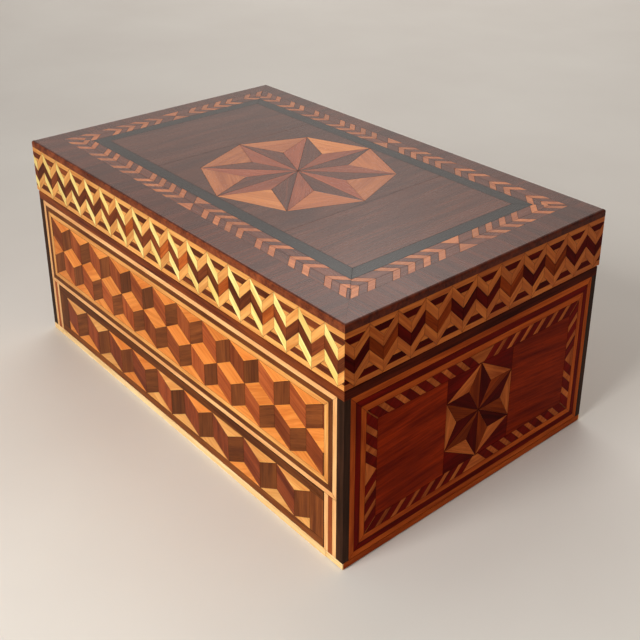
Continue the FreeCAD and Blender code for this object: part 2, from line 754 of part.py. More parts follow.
os.makedirs("parts", exist_ok=True)
for label, thing in nodes.items():
    thing.Shape.exportStep(f"parts/{label}.step")
    print(f"{label}: {len(thing.Shape.Solids)} solid(s), {thing.Shape.Volume:.1f} mm3")
print(f"{len(nodes)} pieces")
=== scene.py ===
import math
import random

import bmesh
import bpy
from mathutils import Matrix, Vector


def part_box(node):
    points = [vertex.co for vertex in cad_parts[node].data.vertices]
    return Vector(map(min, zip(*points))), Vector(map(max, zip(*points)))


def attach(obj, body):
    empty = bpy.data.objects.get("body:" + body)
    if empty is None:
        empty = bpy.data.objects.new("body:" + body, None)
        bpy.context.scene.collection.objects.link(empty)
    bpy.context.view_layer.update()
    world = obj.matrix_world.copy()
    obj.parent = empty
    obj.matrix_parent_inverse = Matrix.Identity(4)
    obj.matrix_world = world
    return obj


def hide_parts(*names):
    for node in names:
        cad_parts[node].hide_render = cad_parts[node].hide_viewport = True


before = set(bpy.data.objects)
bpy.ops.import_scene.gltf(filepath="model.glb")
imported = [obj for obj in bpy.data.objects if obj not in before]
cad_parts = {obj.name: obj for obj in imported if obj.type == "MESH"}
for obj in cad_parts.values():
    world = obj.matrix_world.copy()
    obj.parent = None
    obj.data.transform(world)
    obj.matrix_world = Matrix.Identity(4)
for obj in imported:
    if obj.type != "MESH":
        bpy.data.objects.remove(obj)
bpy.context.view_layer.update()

# The looks of a marquetry puzzle box. Every panel of the CAD frame is replaced by its cut veneers,
# each one a solid piece with its own grain; the boards, brass and lining keep their CAD shapes.
# Patterns are drawn in millimetres: u runs across a panel, v up it, seen from outside.

MM = 0.001
random.seed(7)

# A veneer's edges are eased by this width and depth, which leaves the fine joint lines.
EASE = 0.10
EASE_DEPTH = 0.14
# A scrap with less area than this, in square millimetres, is left out.
SMALLEST_PIECE = 0.5
# Corners nearer than this are one corner, and a corner that turns less than this is left out.
SAME_CORNER = 0.02
LEAST_TURN = 1e-4

# The lid's middle from front to back, in metres.
lid_low, lid_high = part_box("lid_border")
LID_MIDDLE = (lid_low.y + lid_high.y) / 2
# Half the width between the stiles beside the drawer, and the gap over the drawer's front.
DRAWER_HALF = 135.7
DRAWER_GAP = 0.3
# How far apart the zigzags' valleys are on the lid's long bands and end bands.
LONG_PERIOD = 18.2
END_PERIOD = 17.65


# ---------------------------------------------------------------- materials

def link(tree, source, output, target, name):
    """One socket joined to another."""
    tree.links.new(source.outputs[output], target.inputs[name])


def math_node(tree, operation, a, b):
    """A Math node between sockets or numbers."""
    node = tree.nodes.new("ShaderNodeMath")
    node.operation = operation
    for socket, value in zip(node.inputs, (a, b)):
        if isinstance(value, (int, float)):
            socket.default_value = value
        else:
            tree.links.new(value, socket)
    return node.outputs[0]


def scaled(tree, value, factor, plus):
    """A value times a factor, plus another value."""
    return math_node(tree, "ADD", math_node(tree, "MULTIPLY", value, factor), plus)


def attribute(tree, name, output="Fac"):
    """What the mesh says under a name."""
    node = tree.nodes.new("ShaderNodeAttribute")
    node.attribute_name = name
    return node.outputs[output]


def object_millimetres(tree):
    """The object's own coordinates, in millimetres."""
    source = tree.nodes.new("ShaderNodeTexCoord")
    mapping = tree.nodes.new("ShaderNodeMapping")
    mapping.inputs["Scale"].default_value = (1 / MM,) * 3
    link(tree, source, "Object", mapping, "Vector")
    return mapping.outputs["Vector"]


def noise(tree, vector, stretch, scale, detail, roughness=0.55, distortion=0.0):
    """Noise drawn out along the grain: stretch is how many times longer than wide."""
    mapping = tree.nodes.new("ShaderNodeMapping")
    mapping.inputs["Scale"].default_value = (scale / stretch, scale, scale)
    tree.links.new(vector, mapping.inputs["Vector"])
    texture = tree.nodes.new("ShaderNodeTexNoise")
    texture.inputs["Scale"].default_value = 1.0
    texture.inputs["Detail"].default_value = detail
    texture.inputs["Roughness"].default_value = roughness
    texture.inputs["Distortion"].default_value = distortion
    link(tree, mapping, "Vector", texture, "Vector")
    return texture.outputs["Fac"]


def ramp(tree, factor, stops):
    """A colour ramp: pairs of a position and a colour, or a grey."""
    node = tree.nodes.new("ShaderNodeValToRGB")
    elements = node.color_ramp.elements
    while len(elements) < len(stops):
        elements.new(0.5)
    for element, (position, colour) in zip(elements, stops):
        element.position = position
        if isinstance(colour, (int, float)):
            colour = (colour,) * 3
        element.color = (*colour, 1)
    tree.links.new(factor, node.inputs["Fac"])
    return node.outputs["Color"]


def mix(tree, kind, factor, a, b):
    """Two colours mixed."""
    node = tree.nodes.new("ShaderNodeMix")
    node.data_type = "RGBA"
    node.blend_type = kind
    for socket, value in ((node.inputs[0], factor), (node.inputs[6], a), (node.inputs[7], b)):
        if isinstance(value, (int, float)):
            socket.default_value = value
        elif isinstance(value, tuple):
            socket.default_value = (*value, 1)
        else:
            tree.links.new(value, socket)
    return node.outputs[2]


def srgb(red, green, blue):
    """A colour from 0 to 255 as the renderer's linear numbers."""
    def linear(level):
        level /= 255
        return level / 12.92 if level <= 0.04045 else ((level + 0.055) / 1.055) ** 2.4
    return linear(red), linear(green), linear(blue)


def new_material(name):
    """An empty node material with its Principled shader."""
    material = bpy.data.materials.new(name)
    material.use_nodes = True
    tree = material.node_tree
    tree.nodes.clear()
    output = tree.nodes.new("ShaderNodeOutputMaterial")
    shader = tree.nodes.new("ShaderNodeBsdfPrincipled")
    link(tree, shader, "BSDF", output, "Surface")
    return material, tree, shader


def shape_bump(tree, shader, height, strength, distance):
    """Relief from a height."""
    bump = tree.nodes.new("ShaderNodeBump")
    bump.inputs["Strength"].default_value = strength
    bump.inputs["Distance"].default_value = distance
    tree.links.new(height, bump.inputs["Height"])
    link(tree, bump, "Normal", shader, "Normal")


def grain_vector(tree, grain):
    """Coordinates in millimetres with x along the grain: a veneer's own, or the object's along an axis."""
    if grain == "cut":
        return attribute(tree, "grain", "Vector")
    parts = tree.nodes.new("ShaderNodeSeparateXYZ")
    tree.links.new(object_millimetres(tree), parts.inputs["Vector"])
    turned = tree.nodes.new("ShaderNodeCombineXYZ")
    order = {"x": "XYZ", "y": "YXZ", "z": "ZXY"}[grain]
    for target, axis in zip("XYZ", order):
        link(tree, parts, axis, turned, target)
    return turned.outputs["Vector"]


def wood(name, dark, light, grain="cut", figure=0.5, pores=0.5, gloss=0.36, coat=0.0, level=0.1,
         spread=0.16, relief=0.2):
    """A waxed wood: broad figure, fine fibres and dark pores along the grain.
    A cut veneer also has a tone for each piece, and dark joints."""
    fibre_share = 0.22
    pore_darkness = 0.42 * pores
    joint_darkness = 0.75
    stain = tuple(0.22 * channel for channel in dark)
    wear = 0.16
    material, tree, shader = new_material(name)
    vector = grain_vector(tree, grain)
    broad = noise(tree, vector, stretch=7, scale=0.11, detail=3, roughness=0.5, distortion=0.8)
    bands = noise(tree, vector, stretch=22, scale=0.55, detail=4, roughness=0.6, distortion=0.3)
    fibre = noise(tree, vector, stretch=40, scale=2.6, detail=3, roughness=0.65)
    pore = noise(tree, vector, stretch=16, scale=3.6, detail=2, roughness=0.5)
    streaks = scaled(tree, broad, figure, plus=math_node(tree, "MULTIPLY", bands, 1 - figure))
    fibres = math_node(tree, "MULTIPLY", fibre, fibre_share)
    streaks = scaled(tree, streaks, 1 - fibre_share, plus=fibres)
    colour = ramp(tree, streaks, [(0.41, dark), (0.6, light)])
    pits = ramp(tree, pore, [(0.30, 0.0), (0.44, 1.0)])
    shade = scaled(tree, pits, pore_darkness, plus=1 - pore_darkness)
    colour = mix(tree, "MULTIPLY", 1.0, colour, shade)
    if grain == "cut":
        gain = scaled(tree, attribute(tree, "tone"), spread, plus=1.0)
        colour = mix(tree, "MULTIPLY", 1.0, colour, gain)
        joint = math_node(tree, "MULTIPLY", attribute(tree, "joint"), joint_darkness)
        colour = mix(tree, "MIX", joint, colour, stain)
    tree.links.new(colour, shader.inputs["Base Color"])
    worn = noise(tree, vector, stretch=2, scale=0.045, detail=3, roughness=0.6)
    rough = scaled(tree, worn, wear, plus=gloss - wear / 2)
    rough = math_node(tree, "ADD", rough, math_node(tree, "MULTIPLY", pits, -0.05))
    tree.links.new(rough, shader.inputs["Roughness"])
    shader.inputs["IOR"].default_value = 1.5
    shader.inputs["Specular IOR Level"].default_value = level
    shader.inputs["Coat Weight"].default_value = coat
    shader.inputs["Coat Roughness"].default_value = 0.22
    height = scaled(tree, pits, 0.7, plus=math_node(tree, "MULTIPLY", fibre, 0.5))
    shape_bump(tree, shader, height, relief, 0.08 * MM)
    return material


def brass(name):
    """Old brass: brushed, with brown tarnish in patches."""
    material, tree, shader = new_material(name)
    vector = object_millimetres(tree)
    patches = noise(tree, vector, stretch=1, scale=0.35, detail=5, roughness=0.6, distortion=0.4)
    brushed = noise(tree, vector, stretch=18, scale=4.5, detail=2, roughness=0.5)
    colour = ramp(tree, patches, [(0.38, srgb(120, 88, 42)), (0.6, srgb(206, 168, 92))])
    tree.links.new(colour, shader.inputs["Base Color"])
    shader.inputs["Metallic"].default_value = 1.0
    tree.links.new(scaled(tree, brushed, 0.25, plus=0.2), shader.inputs["Roughness"])
    shape_bump(tree, shader, brushed, 0.2, 0.05 * MM)
    return material


# Each wood of the veneers: its darker and lighter streaks, and how open its pores are.
VENEER_TONES = {
    "boxwood": (srgb(226, 192, 108), srgb(248, 232, 158), 0.12),
    "pale": (srgb(218, 160, 102), srgb(242, 194, 138), 0.15),
    "satin": (srgb(204, 138, 71), srgb(232, 176, 105), 0.2),
    "orange": (srgb(208, 122, 50), srgb(234, 156, 78), 0.2),
    "copper": (srgb(146, 70, 30), srgb(196, 112, 54), 0.6),
    "russet": (srgb(128, 60, 28), srgb(168, 92, 48), 0.6),
    "brown": (srgb(98, 51, 23), srgb(134, 78, 37), 0.6),
    "rosewood": (srgb(88, 39, 19), srgb(136, 71, 35), 0.7),
    "mahogany": (srgb(104, 43, 20), srgb(152, 76, 38), 0.8),
    # The next six woods are used only on the box's ends: darker, redder copies whose colours hold painted
    # shade and painted warm bounce light besides their own colour.
    "shaded_amber": (srgb(164, 80, 22), srgb(200, 116, 46), 0.3),
    "shaded_garnet": (srgb(62, 6, 2), srgb(98, 14, 4), 0.6),
    "shaded_cherry": (srgb(104, 24, 4), srgb(152, 50, 9), 0.8),
    "shaded_ruby": (srgb(84, 11, 3), srgb(122, 20, 5), 0.5),
    "shaded_chestnut": (srgb(112, 42, 10), srgb(152, 66, 18), 0.6),
    "shaded_tawny": (srgb(146, 62, 20), srgb(188, 94, 34), 0.4),
    "pitch": (srgb(20, 19, 17), srgb(38, 34, 30), 0.4),
    "mauve": (srgb(74, 38, 26), srgb(106, 60, 42), 0.6),
    "border": (srgb(70, 32, 18), srgb(104, 52, 32), 0.7),
    "blush": (srgb(168, 94, 52), srgb(198, 122, 70), 0.3),
    "tan": (srgb(192, 114, 56), srgb(220, 144, 80), 0.3),
    "umber": (srgb(86, 42, 28), srgb(118, 64, 42), 0.6),
    "sienna": (srgb(142, 70, 42), srgb(172, 92, 58), 0.5),
    "edging": (srgb(94, 42, 22), srgb(146, 80, 46), 0.6),
    # The edging's darker copy for the sides of the lid's ends: painted shade.
    "shaded_edging": (srgb(66, 20, 7), srgb(110, 46, 20), 0.6),
}
# The same for the solid woods.
BOARD_TONES = {
    "cap": (srgb(94, 37, 11), srgb(148, 76, 28), 0.7),
    # The cap's darker copy for the end caps: painted shade.
    "shaded_cap": (srgb(54, 14, 6), srgb(94, 34, 15), 0.7),
    "post": (srgb(46, 27, 17), srgb(76, 47, 30), 0.5),
    "plinth": (srgb(228, 186, 124), srgb(248, 220, 170), 0.1),
    "cedar": (srgb(150, 92, 58), srgb(188, 126, 84), 0.4),
    "pine": (srgb(158, 112, 68), srgb(196, 150, 100), 0.3),
    "walnut": (srgb(84, 54, 36), srgb(128, 86, 58), 0.7),
}
# Light woods differ least from piece to piece, and varied ones most.
LIGHT_WOODS = ("boxwood", "pale", "satin", "orange", "shaded_amber", "shaded_tawny")
VARIED = ("rosewood", "russet", "brown")
# The ends' woods, darker and redder with painted shade, and copper shine least, and those of the lid's top
# are polished.
DULL = ("shaded_garnet", "shaded_cherry", "shaded_ruby", "shaded_chestnut", "shaded_tawny", "copper")
POLISHED = ("pitch", "mauve", "border", "blush", "tan", "umber", "sienna")


def veneer_finish(name):
    """How a veneer's wood shines, and how far its pieces differ in tone."""
    finish = {"spread": 0.15}
    if name in LIGHT_WOODS:
        finish["spread"] = 0.07
    if name in POLISHED:
        finish.update(gloss=0.3, coat=0.3, level=0.5, relief=0.08)
    if name in DULL:
        finish["level"] = 0.02
    if name in VARIED:
        finish.update(level=0.06, spread=0.3)
    return finish


def veneer_woods():
    """One material for each wood of the veneers."""
    woods = {}
    for name, (dark, light, pores) in VENEER_TONES.items():
        woods[name] = wood(name, dark, light, pores=pores, **veneer_finish(name))
    return woods


WOODS = veneer_woods()


# ---------------------------------------------------------------- flat geometry

def area(points):
    """Signed area of a polygon."""
    return sum(a[0] * b[1] - b[0] * a[1] for a, b in zip(points, points[1:] + points[:1])) / 2


def clip(points, region):
    """A convex polygon cut to another convex one that runs anticlockwise."""
    for a, b in zip(region, region[1:] + region[:1]):
        def inside(p):
            return (b[0] - a[0]) * (p[1] - a[1]) - (b[1] - a[1]) * (p[0] - a[0])
        kept = []
        for p, q in zip(points, points[1:] + points[:1]):
            side_p, side_q = inside(p), inside(q)
            if side_p >= 0:
                kept.append(p)
            if (side_p > 0 > side_q) or (side_p < 0 < side_q):
                t = side_p / (side_p - side_q)
                kept.append((p[0] + t * (q[0] - p[0]), p[1] + t * (q[1] - p[1])))
        points = kept
        if len(points) < 3:
            return []
    return points


def tidy(points):
    """The polygon anticlockwise, without doubled or in-line corners."""
    points = [p for p, q in zip(points, points[1:] + points[:1]) if math.dist(p, q) > SAME_CORNER]
    kept = []
    for i, p in enumerate(points):
        a, b = points[i - 1], points[(i + 1) % len(points)]
        turn = (p[0] - a[0]) * (b[1] - p[1]) - (p[1] - a[1]) * (b[0] - p[0])
        if abs(turn) > LEAST_TURN:
            kept.append(p)
    return kept if area(kept) > 0 else kept[::-1]


def shrunk(points, width):
    """A convex polygon with every side moved in by a width."""
    lines = []
    for a, b in zip(points, points[1:] + points[:1]):
        length = math.dist(a, b)
        normal = (-(b[1] - a[1]) / length, (b[0] - a[0]) / length)
        lines.append((a[0] + normal[0] * width, a[1] + normal[1] * width, b[0] - a[0], b[1] - a[1]))
    corners = []
    for (px, py, pu, pv), (qx, qy, qu, qv) in zip([lines[-1]] + lines[:-1], lines):
        cross = pu * qv - pv * qu
        t = ((qx - px) * qv - (qy - py) * qu) / cross
        corners.append((px + pu * t, py + pv * t))
    return corners


def box_outline(left, right, low, high):
    """A rectangle, anticlockwise."""
    return [(left, low), (right, low), (right, high), (left, high)]


class Panel:
    """Cut veneers lying flat between a panel's outer face and the board behind it."""

    def __init__(self, node, side, body, mitre=False):
        low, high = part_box(node)
        middle = (low + high) / 2
        places = {
            "front": ((middle.x, low.y, 0), (1, 0, 0), high.y - low.y),
            "back": ((middle.x, high.y, 0), (-1, 0, 0), high.y - low.y),
            "right": ((high.x, middle.y, 0), (0, 1, 0), high.x - low.x),
            "left": ((low.x, middle.y, 0), (0, -1, 0), high.x - low.x),
            "top": ((0, LID_MIDDLE, high.z), (1, 0, 0), high.z - low.z),
        }
        origin, across, thickness = places[side]
        self.node, self.body = node, body
        self.origin, self.across = Vector(origin), Vector(across)
        self.up = Vector((0, 1, 0)) if side == "top" else Vector((0, 0, 1))
        self.out = self.across.cross(self.up)
        self.thickness = thickness / MM
        ends = [abs((corner - self.origin).dot(self.across)) / MM for corner in (low, high)]
        self.half = max(ends)
        self.low, self.high = low.z / MM, high.z / MM
        self.mitre = mitre
        self.pieces = []

    def add(self, kind, points, grain=0.0, tone=None, region=None):
        """One veneer: its wood, its outline, the direction of its grain in degrees and how light it is."""
        if region:
            points = clip(points, region)
        if len(points) < 3:
            return
        points = tidy(points)
        if len(points) < 3 or abs(area(points)) < SMALLEST_PIECE:
            return
        tone = random.uniform(-1, 1) if tone is None else tone
        self.pieces.append((kind, points, grain + random.uniform(-4, 4), tone))

    def place(self, u, v, depth):
        """A point of the panel in space; depth is below the outer face, in millimetres."""
        if self.mitre:
            reach = self.half - depth
            u = max(-reach, min(reach, u))
        return self.origin + (self.across * u + self.up * v - self.out * depth) * MM

    def build(self):
        """One mesh of all the veneers, with each one's grain and tone as attributes."""
        mesh = VeneerMesh(self.node + "_veneers")
        for kind, outline, angle, tone in self.pieces:
            top = shrunk(outline, EASE)
            c, s = math.cos(math.radians(angle)), math.sin(math.radians(angle))
            rings = [[(self.place(u, v, depth), (u * c + v * s, v * c - u * s, depth)) for u, v in ring]
                     for ring, depth in ((outline, self.thickness), (outline, EASE_DEPTH), (top, 0))]
            mesh.stack(kind, rings, tone, eased=True)
        return mesh.finish(self.node, self.body)


class VeneerMesh:
    """A mesh of closed pieces, each with a wood, grain coordinates, a tone and darkened joints."""

    def __init__(self, name):
        self.name = name
        self.kinds, self.vertices, self.faces = [], [], []
        self.slots, self.grains, self.tones, self.joints = [], [], [], []

    def face(self, corners, local, kind, tone, joint):
        """One face, with the grain coordinates of its corners."""
        if kind not in self.kinds:
            self.kinds.append(kind)
        self.faces.append(corners)
        self.slots.append(self.kinds.index(kind))
        self.tones.append(tone)
        self.joints.append(joint)
        self.grains += [x for point in local for x in point]

    def stack(self, kind, rings, tone, eased=False, edge_kind=None, edge_sides=()):
        """A closed piece through rings of (point, grain point), capped at both ends.
        The sides in edge_sides are of another wood."""
        start, count = len(self.vertices), len(rings[0])
        shift = [random.uniform(-400, 400) for _ in range(3)]
        local = []
        for ring in rings:
            for point, grain in ring:
                self.vertices.append(point)
                local.append([a + b for a, b in zip(grain, shift)])
        last = (len(rings) - 1) * count
        shapes = [(list(range(count))[::-1], kind, 0), (list(range(last, last + count)), kind, 0)]
        for ring in range(len(rings) - 1):
            for i in range(count):
                j = (i + 1) % count
                below, above = ring * count, (ring + 1) * count
                side_kind = edge_kind if i in edge_sides else kind
                shapes.append(([below + i, below + j, above + j, above + i], side_kind, int(eased)))
        for corners, face_kind, joint in shapes:
            self.face([start + k for k in corners], [local[k] for k in corners], face_kind, tone, joint)

    def finish(self, node, body):
        """The mesh as an object that stands for a CAD node."""
        mesh = bpy.data.meshes.new(self.name)
        mesh.from_pydata(self.vertices, [], self.faces)
        for kind in self.kinds:
            mesh.materials.append(WOODS[kind])
        mesh.polygons.foreach_set("material_index", self.slots)
        mesh.attributes.new("grain", "FLOAT_VECTOR", "CORNER").data.foreach_set("vector", self.grains)
        mesh.attributes.new("tone", "FLOAT", "FACE").data.foreach_set("value", self.tones)
        mesh.attributes.new("joint", "FLOAT", "FACE").data.foreach_set("value", self.joints)
        mesh.update()
        piece = bpy.data.objects.new(self.name, mesh)
        bpy.context.scene.collection.objects.link(piece)
        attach(piece, body)
        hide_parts(node)
        return piece


# ---------------------------------------------------------------- patterns

def within(rect, left, right=None, low=None, high=None):
    """A rectangle (left, right, low, high) made smaller, by one amount or by one for each side."""
    right = left if right is None else right
    low = left if low is None else low
    high = left if high is None else high
    return rect[0] + left, rect[1] - right, rect[2] + low, rect[3] - high


def ring(panel, kind, outer, inner, tone=None):
    """A mitred line between two rectangles."""
    left, right, low, high = outer
    in_left, in_right, in_low, in_high = inner
    for outline, grain in (
        ([(left, low), (right, low), (in_right, in_low), (in_left, in_low)], 0),
        ([(in_left, in_high), (in_right, in_high), (right, high), (left, high)], 0),
        ([(left, low), (in_left, in_low), (in_left, in_high), (left, high)], 90),
        ([(in_right, in_low), (right, low), (right, high), (in_right, in_high)], 90),
    ):
        panel.add(kind, outline, grain, tone)


def strip(panel, kind, left, right, low, high, tone=None):
    """A plain rectangular veneer with its grain along its length."""
    panel.add(kind, box_outline(left, right, low, high), 0 if right - left > high - low else 90, tone)


def zigzag_band(node, side, period, woods, redder):
    """The lid's band: three zigzags between scalloped edges.
    woods are those of the falling legs, the rising legs, and the middle zigzag's darker and redder legs.
    redder says, from a valley's number and whether the leg falls, if the leg is of the redder wood."""
    panel = Panel(node, side, "lid", mitre=True)
    low, high, half = panel.low, panel.high, panel.half
    # The first peak is this far below the top edge, and the legs rise and fall by the swing.
    rise, swing = 0.5, 9.0
    # How tall the light zigzags and the dark one are, and the scallops' first two layers.
    light, dark = 6.2, 7.0
    line, scallop = 3.2, 3.5
    levels = [rise, rise + light, rise + light + dark, rise + 2 * light + dark]
    region = box_outline(-half, half, low, high)
    step = period / 2
    slope = step / swing
    count = int(half / step) + 2
    for i in range(-count, count + 1):
        left, right = i * step, (i + 1) * step
        falls = i % 2 == 1
        starts, ends = (0, swing) if falls else (swing, 0)
        valley = (i + 1) // 2
        for row, (top, bottom) in enumerate(zip(levels, levels[1:])):
            points = [(left, high - top - starts), (left, high - bottom - starts),
                      (right, high - bottom - ends), (right, high - top - ends)]
            kind = woods[0] if falls else woods[1]
            if row == 1:
                kind = woods[3] if redder(valley, falls) else woods[2]
            panel.add(kind, points, -45 if falls else 45, region=region)
    for i in range(-count, count + 1):
        upper = i % 2 == 0
        edge, sign = (high, -1) if upper else (low, 1)
        depth = rise + swing if upper else high - low - levels[3]
        slab = box_outline((i - 1) * step, (i + 1) * step, low, high)
        cuts = [0, line, line + scallop, depth]
        for kind, near, far in zip((woods[1], woods[2], woods[1]), cuts, cuts[1:]):
            a, b = (depth - near) * slope, (depth - far) * slope
            x, y0, y1 = i * step, edge + sign * near, edge + sign * far
            panel.add(kind, clip([(x - a, y0), (x + a, y0), (x + b, y1), (x - b, y1)][::-sign], slab),
                      0, region=region)
    return panel.build()


def tumbling_blocks(panel, rect, pitch, rise, offsets, lights, faces):
    """Tumbling blocks: light lozenges, one row per offset from top to bottom, over two darker faces each."""
    region = box_outline(*rect)
    half = pitch / 2
    spacing = (rect[3] - rect[2]) / (len(offsets) - 1)
    edge = spacing - rise
    count = int((rect[1] - rect[0]) / pitch) + 2
    for row, offset in enumerate(offsets):
        level = rect[3] - row * spacing
        for i in range(-count, count + 1):
            x = (i + offset) * pitch
            left, right = x - half, x + half
            lozenge = [(left, level), (x, level - rise), (right, level), (x, level + rise)]
            panel.add(random.choice(lights), lozenge, random.choice((0, 28, -28)), region=region)
            shade = [(left, level), (left, level - edge), (x, level - rise - edge), (x, level - rise)]
            panel.add(faces[0], shade, random.choice((-28, 90)), region=region)
            shade = [(x, level - rise), (x, level - rise - edge), (right, level - edge), (right, level)]
            panel.add(faces[1], shade, random.choice((28, 90)), region=region)


def line_width(panel):
    """The three lines beside the drawer share the width of a stile."""
    return (panel.half - DRAWER_HALF) / 3


def blocks_panel(panel, foot):
    """The framed tumbling blocks of the long sides, down to the drawer's top."""
    rect = (-panel.half, panel.half, foot, panel.high)
    width = line_width(panel)
    for kind, tone in (("pale", 0), ("brown", -0.3), ("satin", 0)):
        inner = within(rect, width)
        ring(panel, kind, rect, inner, tone)
        rect = inner
    tumbling_blocks(panel, rect, pitch=24.5, rise=7.0, offsets=(0, 0.5, 0), lights=("orange",),
                    faces=("russet", "brown"))


def lines_beside_drawer(panel, foot):
    """Three upright lines on the stiles either side of the drawer."""
    width = line_width(panel)
    for sign in (-1, 1):
        for i, kind in enumerate(("pale", "russet", "pale")):
            a, b = sorted((sign * (panel.half - i * width), sign * (panel.half - (i + 1) * width)))
            strip(panel, kind, a, b, panel.low, foot)


def drawer_pattern(panel, rect):
    """One row of larger blocks in a dark border."""
    inner = within(rect, left=10.3, right=10.3, low=4.7, high=5.3)
    strip(panel, "brown", rect[0], rect[1], rect[2], inner[2])
    strip(panel, "brown", rect[0], rect[1], inner[3], rect[3])
    strip(panel, "brown", rect[0], inner[0], inner[2], inner[3])
    strip(panel, "brown", inner[1], rect[1], inner[2], inner[3])
    tumbling_blocks(panel, inner, pitch=28.2, rise=7.9, offsets=(0, 0.5), lights=("orange", "satin"),
                    faces=("mahogany", "brown"))


def star(panel, centre, radius, notch, points, turn, light, dark, between):
    """A star of split points in its polygon: a light and a dark half each, and a triangle between tips."""
    step = 360 / points

    def polar(reach, degrees):
        return (centre[0] + reach * math.cos(math.radians(degrees)),
                centre[1] + reach * math.sin(math.radians(degrees)))

    for i in range(points):
        angle = turn + i * step
        tip, following = polar(radius, angle), polar(radius, angle + step)
        after, before = polar(notch, angle + step / 2), polar(notch, angle - step / 2)
        panel.add(light, [centre, tip, after], angle)
        panel.add(dark, [centre, before, tip], angle)
        kind, tone = between[i % len(between)]
        panel.add(kind, [tip, following, after], angle + step / 2 + 90, tone)


def striped_edge(panel, rect, width, gaps):
    """Slanting stripes round a rectangle, with a light triangle at each side's middle.
    gaps are half that triangle's base and the number of dark stripes, for the long and short sides."""
    left, right, low, high = rect
    cx, cy = (left + right) / 2, (low + high) / 2
    # How wide the line at a corner is, and how much of a stripe and its space the stripe takes.
    corner_line, dark_share = 0.5, 0.61
    for across in (True, False):
        reach = (right - left) / 2 if across else (high - low) / 2
        base, count = gaps[0] if across else gaps[1]
        run = reach - base - corner_line
        dark = run * dark_share / (dark_share * count + (1 - dark_share) * (count - 1))
        light = (run - count * dark) / (count - 1)
        cuts = [0, corner_line]
        for i in range(count):
            cuts.append(cuts[-1] + dark)
            cuts.append(cuts[-1] + light)
        cuts[-1] = reach
        for sx in (-1, 1):
            for sy in (-1, 1):
                def at(along, depth):
                    if across:
                        return cx + sx * (reach - along), cy + sy * ((high - low) / 2 - depth)
                    return cx + sx * ((right - left) / 2 - depth), cy + sy * (reach - along)
                quarter = [at(0, 0), at(reach, 0), at(reach, width), at(width, width)]
                quarter = quarter if area(quarter) > 0 else quarter[::-1]
                for i, (a, b) in enumerate(zip(cuts, cuts[1:-1])):
                    kind = "copper" if i % 2 == 0 else "shaded_ruby"
                    outline = [at(a, 0), at(b, 0), at(b + width, width), at(a + width, width)]
                    panel.add(kind, outline, 45, region=quarter)
        for s in (-1, 1):
            def tip_at(along, depth):
                if across:
                    return cx + along, cy + s * ((high - low) / 2 - depth)
                return cx + s * ((right - left) / 2 - depth), cy + along
            inset = max(base - width, 0)
            outline = [tip_at(-base, 0), tip_at(base, 0), tip_at(inset, width), tip_at(-inset, width)]
            panel.add("copper", outline, 0 if across else 90)


def end_panel(node, side):
    """The end of the base: lines, a striped edge, plain mahogany and a six-pointed star."""
    # This end's woods hold painted shade and painted warm bounce light in their colours, darker and redder
    # than the front's.
    panel = Panel(node, side, "base")
    rect = (-panel.half, panel.half, panel.low, panel.high)
    for kind, tone in (("shaded_tawny", 0.3), ("shaded_ruby", -0.3), ("shaded_tawny", 1)):
        inner = within(rect, left=3.3, right=3.3, low=3.4, high=3.75)
        ring(panel, kind, rect, inner, tone)
        rect = inner
    width = 7.2
    striped_edge(panel, rect, width, gaps=((9.3, 7), (7.0, 3)))
    left, right, low, high = within(rect, width)
    radius = (high - low) / 2
    centre = (0, (low + high) / 2)
    block = radius * math.cos(math.radians(30))
    panel.add("shaded_cherry", box_outline(left, -block, low, high), 6, 0.3)
    panel.add("shaded_cherry", box_outline(block, right, low, high), -8, -0.4)
    for s in (-1, 1):
        for t in (-1, 1):
            y = centre[1] + t * radius
            panel.add("shaded_ruby", [(0, y), (s * block, y), (s * block, centre[1] + t * radius / 2)], 0)
    star(panel, centre, radius, notch=radius * 0.585, points=6, turn=90, light="shaded_chestnut", dark="shaded_garnet",
         between=[("copper", 0.9), ("copper", 0), ("copper", 0.5)])
    return panel.build()


# ---------------------------------------------------------------- the lid's top

def flat_rect(node):
    """A top veneer's rectangle, in millimetres from the lid's middle."""
    low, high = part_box(node)
    return low.x / MM, high.x / MM, (low.y - LID_MIDDLE) / MM, (high.y - LID_MIDDLE) / MM


def chevron_banding(star_middle):
    """Chevrons that point to each side's middle, where two light triangles meet."""
    panel = Panel("lid_chevron_banding", "top", "lid")
    outer, inner = flat_rect("lid_chevron_banding"), flat_rect("lid_line")
    # Where each light chevron starts, from the middle of its side, and how long it is.
    tips = (10, 20.5, 31, 41, 57, 67.5, 83.5, 94, 110, 120.5, 135)
    stroke = 5
    for side in ("front", "back", "left", "right"):
        flat = side in ("front", "back")
        k = {"front": 2, "back": 3, "left": 0, "right": 1}[side]
        edge, sign = outer[k], math.copysign(1, inner[k] - outer[k])
        width = abs(inner[k] - outer[k])
        middle = 0 if flat else star_middle
        grain = 0 if flat else 90

        def at(along, depth):
            across = edge + sign * depth
            return (middle + along, across) if flat else (across, middle + along)

        first, last = (0, 1) if flat else (2, 3)
        ends = [(outer[first], inner[first]), (outer[last], inner[last])]
        region = [at(ends[0][0] - middle, 0), at(ends[1][0] - middle, 0),
                  at(ends[1][1] - middle, width), at(ends[0][1] - middle, width)]
        region = region if area(region) > 0 else region[::-1]
        half = width / 2
        for far in (0, width):
            panel.add("blush", [at(-half, far), at(half, far), at(0, half)], grain, region=region)
            for s in (-1, 1):
                cuts = [0]
                for tip in tips:
                    cuts += [tip, tip + stroke]
                for i, (a, b) in enumerate(zip(cuts, cuts[1:])):
                    kind = "blush" if i % 2 else "umber"
                    outline = [at(s * (a + half), far), at(s * (b + half), far),
                               at(s * b, half), at(s * a, half)]
                    panel.add(kind, outline, grain, region=region)
    return panel.build()


def lid_line():
    """The black line round the lid's field."""
    panel = Panel("lid_line", "top", "lid")
    ring(panel, "pitch", flat_rect("lid_line"), flat_rect("lid_field"))
    return panel.build()


